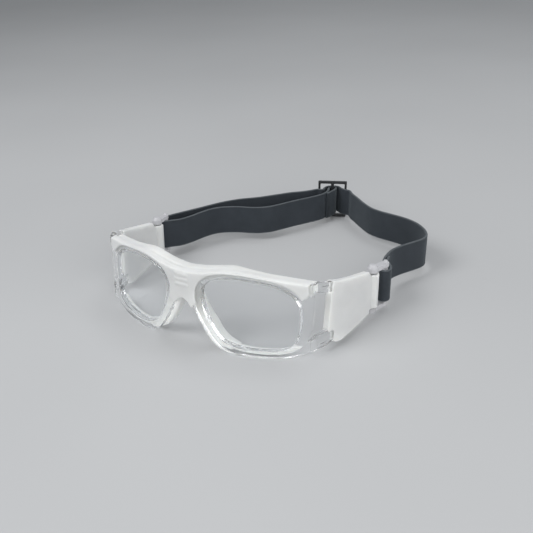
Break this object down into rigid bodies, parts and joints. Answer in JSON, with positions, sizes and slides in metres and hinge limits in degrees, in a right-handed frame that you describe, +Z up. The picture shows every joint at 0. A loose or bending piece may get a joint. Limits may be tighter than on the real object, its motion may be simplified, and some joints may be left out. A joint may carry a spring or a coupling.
{
  "type": "sports protective goggles",
  "caption": "Wrap-around protective goggles with a clear rigid front, soft silicone face liner and temple pads, and an adjustable elastic head strap.",
  "frame": {"origin": "on the table plane, on the mid-plane of the front, about half way between the front and the slider", "axes": "+X to the wearer's left, +Y from the lenses towards the back of the head, +Z up"},
  "size_m": [0.1754, 0.2029, 0.0503],
  "materials": {
    "clear_shell": "clear moulded polycarbonate, polished",
    "lens": "clear polycarbonate, optically polished",
    "silicone": "milky translucent silicone, satin",
    "pin_steel": "bright steel",
    "webbing": "woven elastic webbing, slate grey",
    "thread": "dark sewing thread",
    "slider_plastic": "moulded, fine satin"
  },
  "bodies": {
    "frame": {"front_frame": "clear_shell", "lens_left": "lens", "lens_right": "lens", "face_liner": "silicone", "temple_pad_left": "silicone", "temple_pad_right": "silicone", "strap": "webbing", "strap_stitching": "thread"},
    "loop_left": {"strap_loop_left": "clear_shell", "loop_pin_left": "pin_steel"},
    "loop_right": {"strap_loop_right": "clear_shell", "loop_pin_right": "pin_steel"},
    "slider": {"slider": "slider_plastic"}
  },
  "joints": [
    {"name": "loop_left_swivel", "type": "hinge", "parent": "frame", "child": "loop_left", "pos_m": [0.0802, -0.02877, 0.01744], "axis": [0, 0.1057, 0.9944], "range_deg": [-10, 25], "deforming": ["strap", "strap_stitching"]},
    {"name": "loop_right_swivel", "type": "hinge", "parent": "frame", "child": "loop_right", "pos_m": [-0.0802, -0.02877, 0.01744], "axis": [0, 0.1057, 0.9944], "range_deg": [-25, 10], "deforming": ["strap", "strap_stitching"]},
    {"name": "slider_travel", "type": "slide", "parent": "frame", "child": "slider", "axis": [0.8988, 0.4359, -0.0464], "range_m": [-0.006, 0.006], "deforming": ["strap", "strap_stitching"]}
  ]
}
